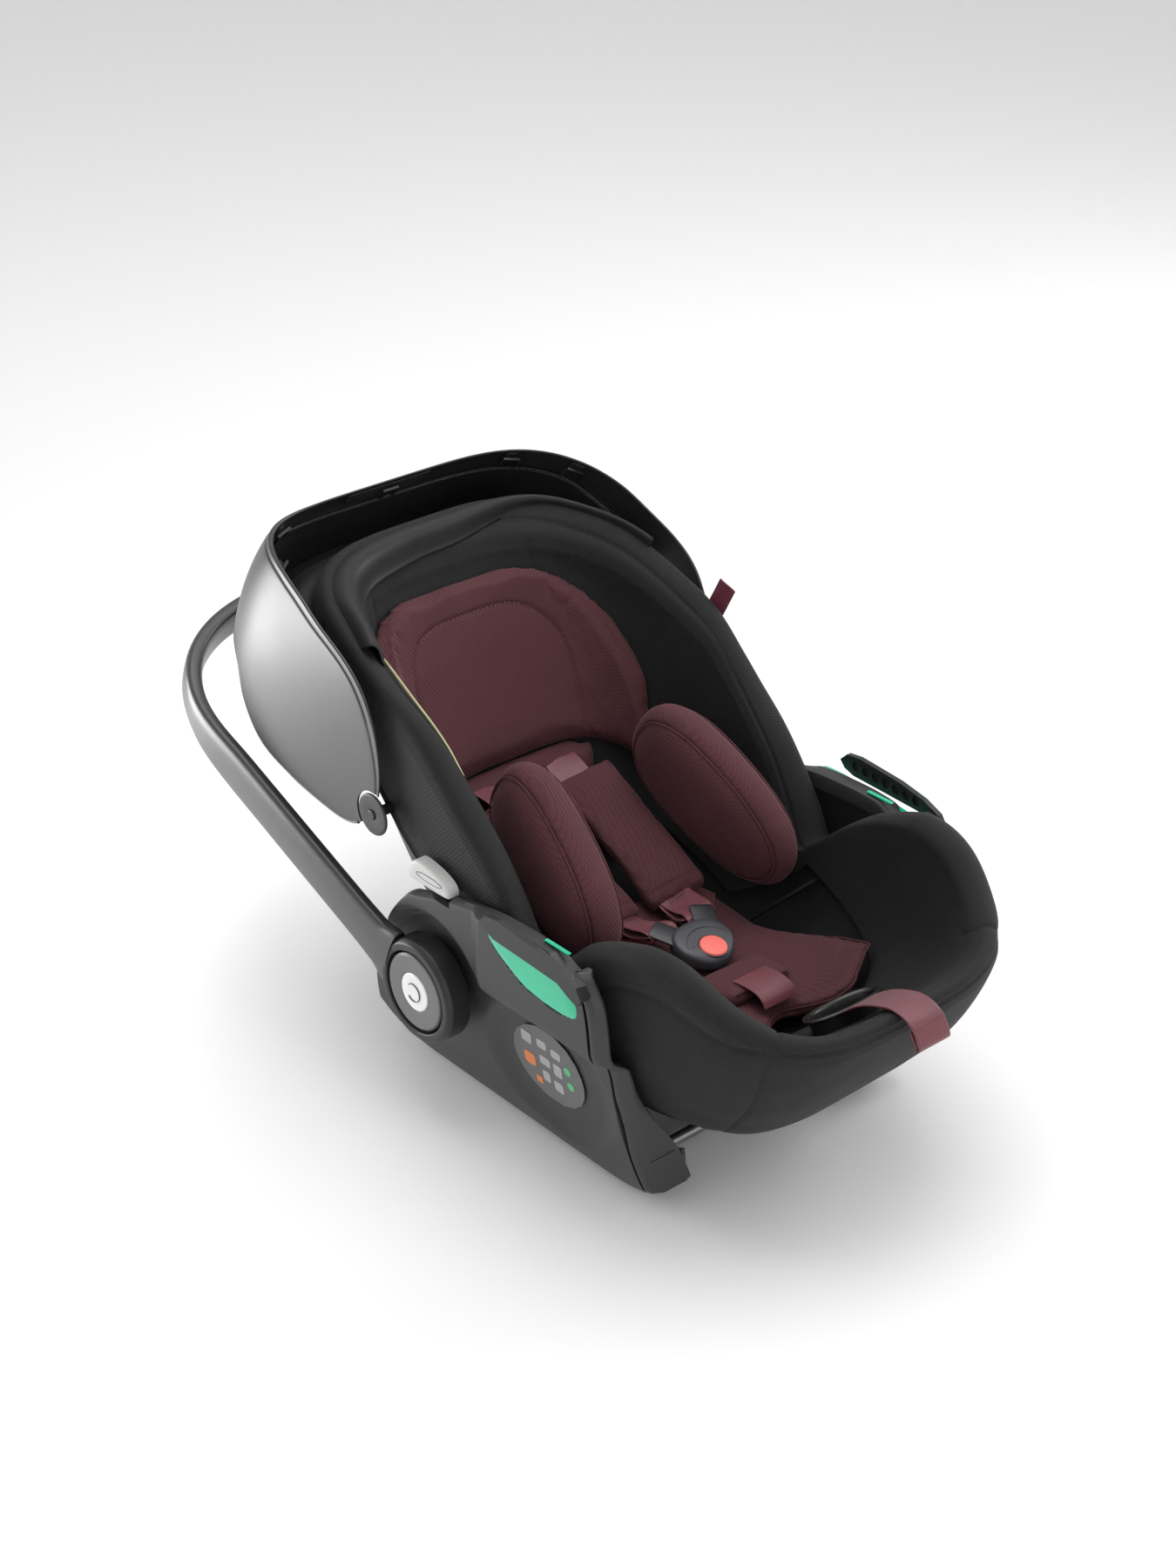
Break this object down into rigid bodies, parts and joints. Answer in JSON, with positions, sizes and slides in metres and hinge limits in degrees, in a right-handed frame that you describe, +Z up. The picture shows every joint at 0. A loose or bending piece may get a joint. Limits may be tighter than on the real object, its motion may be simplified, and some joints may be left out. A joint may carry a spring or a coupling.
{
  "type": "infant car seat",
  "caption": "Rear-facing infant carrier seat with a turning carry handle, a folding hood, a padded insert and a three-point harness.",
  "frame": {"origin": "on the floor, below the middle of the seat's overall length and width", "axes": "+Z up, -Y towards the child's feet and the lower end, +Y towards the head, +X across the seat"},
  "size_m": [0.447, 0.889, 0.4753],
  "materials": {
    "shell_plastic": "fine matte moulded texture",
    "base_plastic": "fine matte moulded texture",
    "black_plastic": "satin with a fine grain",
    "rivet_plastic": "satin",
    "foam": "moulded bead foam",
    "cover_fabric": "ribbed twill",
    "insert_fabric": "soft ribbed knit",
    "webbing": "satin woven webbing",
    "teal_plastic": "smooth",
    "light_plastic": "smooth satin",
    "label_film": null,
    "steel": "plain",
    "button_plastic": "fine matte",
    "badge_plastic": "smooth",
    "zip_tape": "fine teeth on a black tape",
    "buckle_plastic": "satin",
    "red_plastic": "smooth"
  },
  "bodies": {
    "root": {"seat_shell": "shell_plastic", "foam_liner": "foam", "cover_front": "cover_fabric", "cover_back": "cover_fabric", "rear_gusset": "cover_fabric", "side_panel_left": "base_plastic", "side_panel_right": "base_plastic", "front_pillar_left": "base_plastic", "front_pillar_right": "base_plastic", "base_deck": "base_plastic", "front_bar": "steel", "rear_bar": "steel", "deck_screws": "steel", "belt_guide_left": "teal_plastic", "belt_guide_right": "teal_plastic", "belt_hook_left": "black_plastic", "belt_hook_right": "black_plastic", "rail_window_left": "teal_plastic", "rail_window_right": "teal_plastic", "adapter_socket_left": "black_plastic", "adapter_socket_right": "black_plastic", "side_label_left": "label_film", "side_label_right": "label_film", "hub_gears": "steel", "hub_axles": "steel", "hood_rivets": "rivet_plastic", "head_pad": "insert_fabric", "torso_pad": "insert_fabric", "bolster_left": "insert_fabric", "bolster_right": "insert_fabric", "seat_pad": "insert_fabric", "shoulder_webbing": "webbing", "shoulder_pad_left": "insert_fabric", "shoulder_pad_right": "insert_fabric", "lap_webbing": "webbing", "tongue_left": "buckle_plastic", "tongue_right": "buckle_plastic", "buckle_body": "buckle_plastic", "buckle_pad": "insert_fabric", "crotch_strap": "webbing", "adjuster_bezel": "black_plastic", "pull_strap": "webbing", "rim_tag": "webbing"},
    "handle": {"handle_bar": "black_plastic", "hub_housing_left": "black_plastic", "hub_housing_right": "black_plastic", "hub_springs": "steel"},
    "hub_button_left": {"hub_button_left": "button_plastic", "hub_badge_left": "badge_plastic"},
    "hub_button_right": {"hub_button_right": "button_plastic", "hub_badge_right": "badge_plastic"},
    "hood": {"hood_band": "black_plastic", "hood_hinge_plates": "black_plastic", "hood_clips": "black_plastic", "hood_zip": "zip_tape", "hood_lining": "cover_fabric"},
    "release_lever_left": {"release_lever_left": "light_plastic"},
    "release_lever_right": {"release_lever_right": "light_plastic"},
    "buckle_button": {"buckle_button": "red_plastic"},
    "adjuster_lever": {"adjuster_lever": "buckle_plastic"}
  },
  "joints": [
    {"name": "handle_hinge", "type": "hinge", "parent": "root", "child": "handle", "pos_m": [0, -0.019, 0.135], "axis": [1, 0, 0], "range_deg": [-50, 68]},
    {"name": "hood_hinge", "type": "hinge", "parent": "root", "child": "hood", "pos_m": [0, 0.06, 0.279], "axis": [1, 0, 0], "range_deg": [-5, 75]},
    {"name": "hub_button_left_press", "type": "slide", "parent": "handle", "child": "hub_button_left", "axis": [1, 0, 0], "range_m": [0, 0.0045], "stiffness_N_per_m": 800},
    {"name": "hub_button_right_press", "type": "slide", "parent": "handle", "child": "hub_button_right", "axis": [-1, 0, 0], "range_m": [0, 0.0045], "stiffness_N_per_m": 800},
    {"name": "release_lever_left_press", "type": "slide", "parent": "root", "child": "release_lever_left", "axis": [0, 0, -1], "range_m": [0, 0.004], "stiffness_N_per_m": 700},
    {"name": "release_lever_right_press", "type": "slide", "parent": "root", "child": "release_lever_right", "axis": [0, 0, -1], "range_m": [0, 0.004], "stiffness_N_per_m": 700},
    {"name": "buckle_button_press", "type": "slide", "parent": "root", "child": "buckle_button", "axis": [0, 0.2419, -0.9703], "range_m": [0, 0.003], "stiffness_N_per_m": 900},
    {"name": "adjuster_lever_press", "type": "hinge", "parent": "root", "child": "adjuster_lever", "pos_m": [0, -0.33378, 0.17117], "axis": [1, 0, 0], "range_deg": [0, 12], "stiffness_Nm_per_rad": 0.6}
  ]
}
